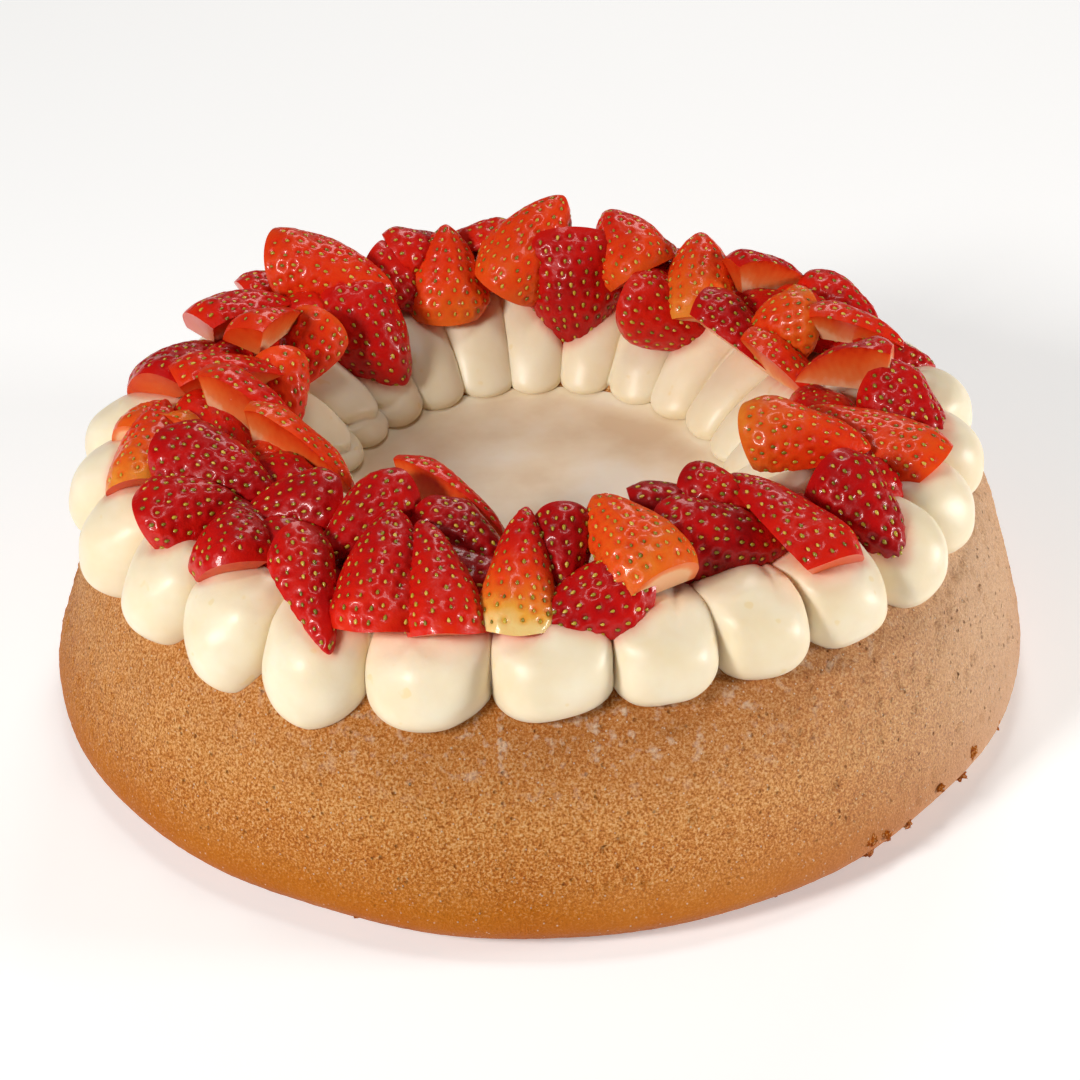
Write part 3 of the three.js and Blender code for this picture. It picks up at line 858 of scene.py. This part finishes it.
def make_cream(name, ring, material, berry_tree):
    piece = piped_ring(name, ring)
    points = places(piece)
    rng = np.random.default_rng(ring["bulbs"])
    clock = np.degrees(np.arctan2(points[:, 1], points[:, 0])) % 360
    out = np.hypot(points[:, 0], points[:, 1]) / MM

    # Soft unevenness
    heights = np.zeros(len(points))
    for size, depth in ((26, 0.7), (13, 0.35)):
        for _ in range(6):
            along = rng.normal(size=3)
            along /= np.linalg.norm(along) * size * MM / math.tau
            heights += depth * 0.27 * np.sin(points @ along + rng.uniform(0, math.tau))

    # Outside, a tuck on each bulb where the nozzle was drawn away; inside, the doubled bulbs
    if ring is OUTER_RING:
        for start, end in fold_angles(ring):
            middle = (start + end) / 2 + rng.uniform(-3.2, 3.2)
            reach = rng.uniform(114, 125)
            line_at = (clock - middle - rng.uniform(-0.2, 0.2) * (out - reach) + 180) % 360 - 180
            fade = 1 / (1 + np.exp((out - reach) / 1.6))
            heights -= rng.uniform(0.3, 1.5) * np.exp(-((line_at / 0.6) ** 2)) * fade
    else:
        share = np.exp(-(((clock - LOBE_CLOCK) / LOBE_SPREAD) ** 4))
        level = LOBE_LEVEL + 1.3 * np.sin(np.radians(clock) * 17)
        heights -= 2.4 * share * np.exp(-(((points[:, 2] / MM - level) / 1.1) ** 2))
    raise_surface(piece, heights * MM)

    # Juice where a berry lies against the cream
    near = np.array([berry_tree.find(point)[2] for point in points])
    store(piece, "juice", 0.62 * np.exp(-((near / 0.0021) ** 2)))
    pick(piece)
    bpy.ops.object.shade_smooth()
    piece.data.materials.append(material)
    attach(piece, "root")
    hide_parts(name.replace("piped", "cream"))


def make_pool(material):
    """A turned disc, its top face inset in rings and swept into low ripples."""
    deselect()
    bpy.ops.mesh.primitive_cylinder_add(
        vertices=180, radius=POOL_RADIUS * MM, depth=(POOL_LEVEL - POOL_FLOOR) * MM,
        location=(0, 0, (POOL_LEVEL + POOL_FLOOR) / 2 * MM),
    )
    pool = bpy.context.object
    pool.name = "soaked_pool"
    bpy.ops.object.transform_apply(location=True)
    top = np.array([face.normal.z > 0.9 for face in pool.data.polygons])
    bpy.ops.object.mode_set(mode="EDIT")
    bpy.ops.mesh.select_mode(type="FACE")
    bpy.ops.mesh.select_all(action="DESELECT")
    bpy.ops.object.mode_set(mode="OBJECT")
    pool.data.polygons.foreach_set("select", top)
    bpy.ops.object.mode_set(mode="EDIT")
    for _ in range(29):
        bpy.ops.mesh.inset(thickness=2 * MM)
    bpy.ops.object.mode_set(mode="OBJECT")
    points = places(pool)
    out = np.hypot(points[:, 0], points[:, 1]) / MM
    clock = np.arctan2(points[:, 1], points[:, 0])
    ripple = 0.02 * np.sin(out / 3.4 + 1.3 * np.sin(clock * 2 + 0.7)) + 0.1 * np.sin(out / 14 + clock)
    lip = 1.1 * np.exp(-((POOL_RADIUS - out) / 3) ** 2)
    on_top = points[:, 2] > (POOL_LEVEL - 0.1) * MM
    points[:, 2] += np.where(on_top, (ripple * np.clip((POOL_RADIUS - out) / 8, 0, 1) + lip) * MM, 0)
    move_to(pool, points)
    bpy.ops.object.shade_smooth_by_angle(angle=math.radians(40))
    pool.data.materials.append(material)
    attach(pool, "root")
    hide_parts("cream_pool")


# Strawberries

def girth(along, width):
    """Radius of a berry at a share of its length from the stem end."""
    shoulder = 0.84 + 0.16 * np.sin(np.pi / 2 * np.minimum(along / 0.25, 1))
    return 0.52 * width * shoulder * np.maximum(1 - along**2, 0) ** 0.7


def slant(along, height, undercut):
    """Shift towards the tip by the slanting cut, for a height as a share of the girth."""
    return undercut * (1 - height) * np.maximum(1 - along / UNDERCUT_FADE, 0)


def even_rows(length, width, spacing):
    """Shares of the length that part the skin's meridian evenly."""
    along = 1 - np.linspace(1, 0, 800) ** 2
    steps = np.hypot(np.diff(along) * length, np.diff(girth(along, width)))
    walked = np.concatenate([[0], np.cumsum(steps)])
    count = max(4, round(walked[-1] / spacing))
    return np.interp(np.linspace(0, walked[-1], count + 1), walked, along)


def lumps(along, angle, starts):
    """Uneven growth: share by which the skin stands in or out."""
    return (
        1 + 0.040 * np.sin(2 * angle + 2 * along + starts[0])
        + 0.030 * np.sin(3 * angle + 5 * along + starts[1])
        + 0.022 * np.sin(11 * along + 4 * angle + starts[2])
    )


def skin_point(along, angle, size, undercut, starts):
    length, width = size
    reach = girth(along, width) * lumps(along, angle, starts)
    x = (along - 0.5) * length + slant(along, np.cos(angle), undercut)
    return np.stack([x, reach * np.sin(angle), reach * np.cos(angle)], axis=-1)


def seed_places(size, half, rng):
    """Share and angle of each seed, in staggered rows over the skin, closer towards the tip."""
    length, width = size
    found = []
    for k, along in enumerate(even_rows(length, width, SEED_SPACING * 0.84 * MM)[1:-1]):
        spacing = SEED_SPACING * (1.06 - 0.2 * along) * MM
        count = max(1, round(2 * half * girth(along, width) / spacing))
        for i in range(count):
            share = (i + 0.5 + 0.25 * (-1) ** k + 0.22 * rng.uniform(-1, 1)) / count
            found.append((along + 0.02 * rng.uniform(-1, 1), half * (2 * share - 1)))
    found.append((0.965, 0.0))
    return np.array(found)


def cut_face(size, angle, shares):
    """Half of a lengthwise cut, from the core line to the skin, as a shaped grid."""
    length, width = size
    deselect()
    bpy.ops.mesh.primitive_grid_add(x_subdivisions=len(shares) - 1, y_subdivisions=CUT_ROWS, size=1)
    face = bpy.context.object
    grid = places(face) + 0.5
    along = np.interp(grid[:, 0], np.linspace(0, 1, len(shares)), shares)
    reach = grid[:, 1] * girth(along, width)
    x = (along - 0.5) * length
    move_to(face, np.column_stack([x, reach * math.sin(angle), reach * math.cos(angle)]))
    return face, grid


def make_berry(index, row, materials, step):
    """One cut piece: two shaped faces, skin spun between them, dimples and seeds."""
    clock, out, up, turn, pitch, roll, long, wide, skin, stem_tone, tip_tone = row
    rng = random.Random(100 + index)
    size = (long * MM, wide * MM)
    half = math.radians(skin) / 2
    starts = [rng.uniform(0, math.tau) for _ in range(3)]
    undercut = 0 if index in SQUARE_STEMS else UNDERCUT * size[0]
    shares = even_rows(*size, step * MM)

    # Two cut faces, and the skin and stem end spun from the first to the second
    berry, grid = cut_face(size, -half, shares)
    other, _ = cut_face(size, half, shares)
    turns = max(6, round(2 * half * 0.46 * wide / step))
    spin_lines(berry, [grid[:, 1] > 0.999, grid[:, 0] < 0.001], (1, 0, 0), 2 * half, turns)
    name = f"cut_strawberry_{index:02d}"
    joined([berry, other], name)
    close_up(berry)

    # Uneven growth, kept within the planes of the cuts
    points = places(berry)
    along = np.clip(points[:, 0] / size[0] + 0.5, 0, 1)
    angle = np.arctan2(points[:, 1], points[:, 2])
    reach = np.hypot(points[:, 1], points[:, 2])
    depth = np.clip(1 - reach / np.maximum(girth(along, size[1]), 1e-6), 0, 1)
    points[:, 1:] *= lumps(along, angle, starts)[:, None]
    at_stem = points[:, 0] < -0.4999 * size[0]
    points[:, 0] += slant(along, (1 - depth) * np.cos(angle), undercut)
    move_to(berry, points)

    # Skin, flesh and ripeness
    normals = np.array([face.normal[:] for face in berry.data.polygons])
    flat = [(0, math.cos(half), -math.sin(half)), (0, -math.cos(half), -math.sin(half))]
    cut = (normals @ np.array(flat).T > 0.96).any(axis=1)
    cut |= np.array([at_stem[list(face.vertices)].all() for face in berry.data.polygons])
    berry.data.polygons.foreach_set("material_index", cut.astype(np.int32))
    ripe = stem_tone + (tip_tone - stem_tone) * np.clip(along * 1.5 - 0.1, 0, 1) ** 0.8
    pale_end = 0.55 * np.clip(1 - along / 0.3, 0, 1)
    core = np.clip(depth * 0.8 + pale_end * depth**0.4, 0, 1)
    stem = np.clip(0.3 + 2 * depth, 0, 1) if undercut == 0 else 0.05 + 0.5 * depth
    store(berry, "depth", np.where(at_stem, stem, core))
    store(berry, "vein", 0.5 + 0.5 * np.sin(along * long * 2.4 + 3 * np.sin(reach / MM * 0.5) + starts[0]))

    # Dimples, each with a low rim and a seed, the skin painted darker in each dimple as painted shade
    spots = seed_places(size, half, rng)
    seeds = skin_point(spots[:, 0], spots[:, 1], size, undercut, starts)
    on_skin = (depth < 0.01) & ~at_stem
    away = np.linalg.norm(points[on_skin][:, None] - seeds[None], axis=2) / MM
    dents = np.exp(-((away / 1.05) ** 2)).max(axis=1)
    rims = 0.12 * np.exp(-(((away - 1.9) / 0.7) ** 2)).sum(axis=1)
    heights = np.zeros(len(points))
    heights[on_skin] = (np.minimum(rims, 0.24) - 0.56 * dents) * MM
    raise_surface(berry, heights)
    # Painted shade: the ripeness value is raised in the dimples so the skin colour is darker there
    ripe[on_skin] += 0.14 * dents
    store(berry, "ripeness_and_dimple_shade", ripe)
    pick(berry)
    bpy.ops.object.shade_smooth_by_angle(angle=math.radians(38))
    for material in materials:
        berry.data.materials.append(material)

    ahead = skin_point(spots[:, 0] + 0.01, spots[:, 1], size, undercut, starts) - seeds
    beside = skin_point(spots[:, 0], spots[:, 1] + 0.02, size, undercut, starts) - seeds
    matrices = []
    for spot, forward, side in zip(seeds, ahead, beside):
        forward = Vector(forward).normalized()
        normal = Vector(side).cross(forward).normalized()
        if normal.z * spot[2] + normal.y * spot[1] < 0:
            normal = -normal
        across = normal.cross(forward)
        place = Vector(spot) - normal * SEED_SINK * MM
        grown = rng.uniform(0.8, 1.15) * MM
        facing = Matrix((forward, across, normal)).transposed().to_4x4()
        scale = Matrix.Diagonal([extent * grown for extent in SEED_SIZE] + [1])
        matrices.append(Matrix.Translation(place) @ facing @ scale)
    pips = copies(seed_template, matrices)
    pips.data.materials.append(materials[2])
    shade = np.repeat([rng.random() for _ in matrices], len(seed_template.data.vertices))
    store(pips, "ripeness_and_dimple_shade", shade)
    joined([berry, pips], name)

    aim = Euler((math.radians(roll), -math.radians(pitch), math.radians(clock + turn))).to_matrix().to_4x4()
    spot = Vector((out * math.cos(math.radians(clock)), out * math.sin(math.radians(clock)), up)) * MM
    centring = Matrix.Translation((0, 0, -CORE_DEPTH * size[1]))
    berry.data.transform(Matrix.Translation(spot) @ aim @ centring)
    berry.data.update()
    return berry


# Stage, light and camera

def make_stage():
    deselect()
    bpy.ops.mesh.primitive_plane_add(size=12)
    floor = bpy.context.object
    floor.name = "floor"
    material, shader = new_material("white_floor", Roughness=0.9)
    shader.inputs["Base Color"].default_value = (0.88, 0.88, 0.88, 1)
    shader.inputs["Emission Color"].default_value = (1, 1, 1, 1)
    shader.inputs["Emission Strength"].default_value = 0.3
    floor.data.materials.append(material)

    world = bpy.data.worlds.new("studio")
    world.use_nodes = True
    world.node_tree.nodes["Background"].inputs["Color"].default_value = (1, 1, 1, 1)
    world.node_tree.nodes["Background"].inputs["Strength"].default_value = 0.05
    bpy.context.scene.world = world

    for name, spot, size, power in LIGHTS:
        lamp = bpy.data.lights.new(name, "AREA")
        lamp.energy = power
        lamp.size = size
        lamp.color = LIGHT_TINT
        holder = bpy.data.objects.new(name, lamp)
        holder.location = spot
        holder.rotation_euler = (Vector(LIGHT_AIM) - Vector(spot)).to_track_quat("-Z", "Y").to_euler()
        bpy.context.scene.collection.objects.link(holder)


def make_camera():
    lens = bpy.data.cameras.new("photo_camera")
    lens.lens = CAMERA_LENS
    lens.sensor_width = 36
    lens.clip_end = 20
    camera = bpy.data.objects.new("photo_camera", lens)
    bpy.context.scene.collection.objects.link(camera)
    tilt = math.radians(CAMERA_ELEVATION)
    forward = Vector((0, math.cos(tilt), -math.sin(tilt)))
    camera.location = (Vector(CAMERA_AIM) - forward * CAMERA_DISTANCE) * MM
    upright = forward.to_track_quat("-Z", "Y").to_matrix()
    rolled = upright @ Matrix.Rotation(math.radians(-CAMERA_ROLL), 3, "Z")
    camera.rotation_euler = rolled.to_euler()
    bpy.context.scene.camera = camera


make_camera()
make_stage()
bpy.context.scene.view_settings.view_transform = "Standard"

deselect()
bpy.ops.mesh.primitive_ico_sphere_add(subdivisions=2, radius=1)
seed_template = bpy.context.object
seed_points = places(seed_template)
seed_points[:, 1:] *= (1 - 0.35 * np.clip(seed_points[:, :1], -0.3, 1))
move_to(seed_template, seed_points)

berry_materials = [berry_skin(), berry_flesh(), berry_seed()]
berries = []
for number, row in enumerate(STRAWBERRIES, 1):
    berry = make_berry(number, row, berry_materials, SKIN_STEP)
    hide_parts(f"strawberry_{number:02d}")
    berries.append(berry)
under = []
for number, row in enumerate(UNDER_PIECES, len(STRAWBERRIES) + 1):
    under.append(make_berry(number, row, berry_materials, UNDER_STEP))
berries.append(joined(under, "strawberry_under_pieces"))
for berry in berries:
    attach(berry, "root")
remove(seed_template)

berry_tree = tree_of(np.concatenate([places(berry)[::5] for berry in berries]))

cream = whipped_cream()
make_cream("piped_border_outer", OUTER_RING, cream, berry_tree)
make_cream("piped_border_inner", INNER_RING, cream, berry_tree)
make_pool(soaked_cream())
crust = sponge_crust()
make_sponge(crust)
make_crumbs(crust)
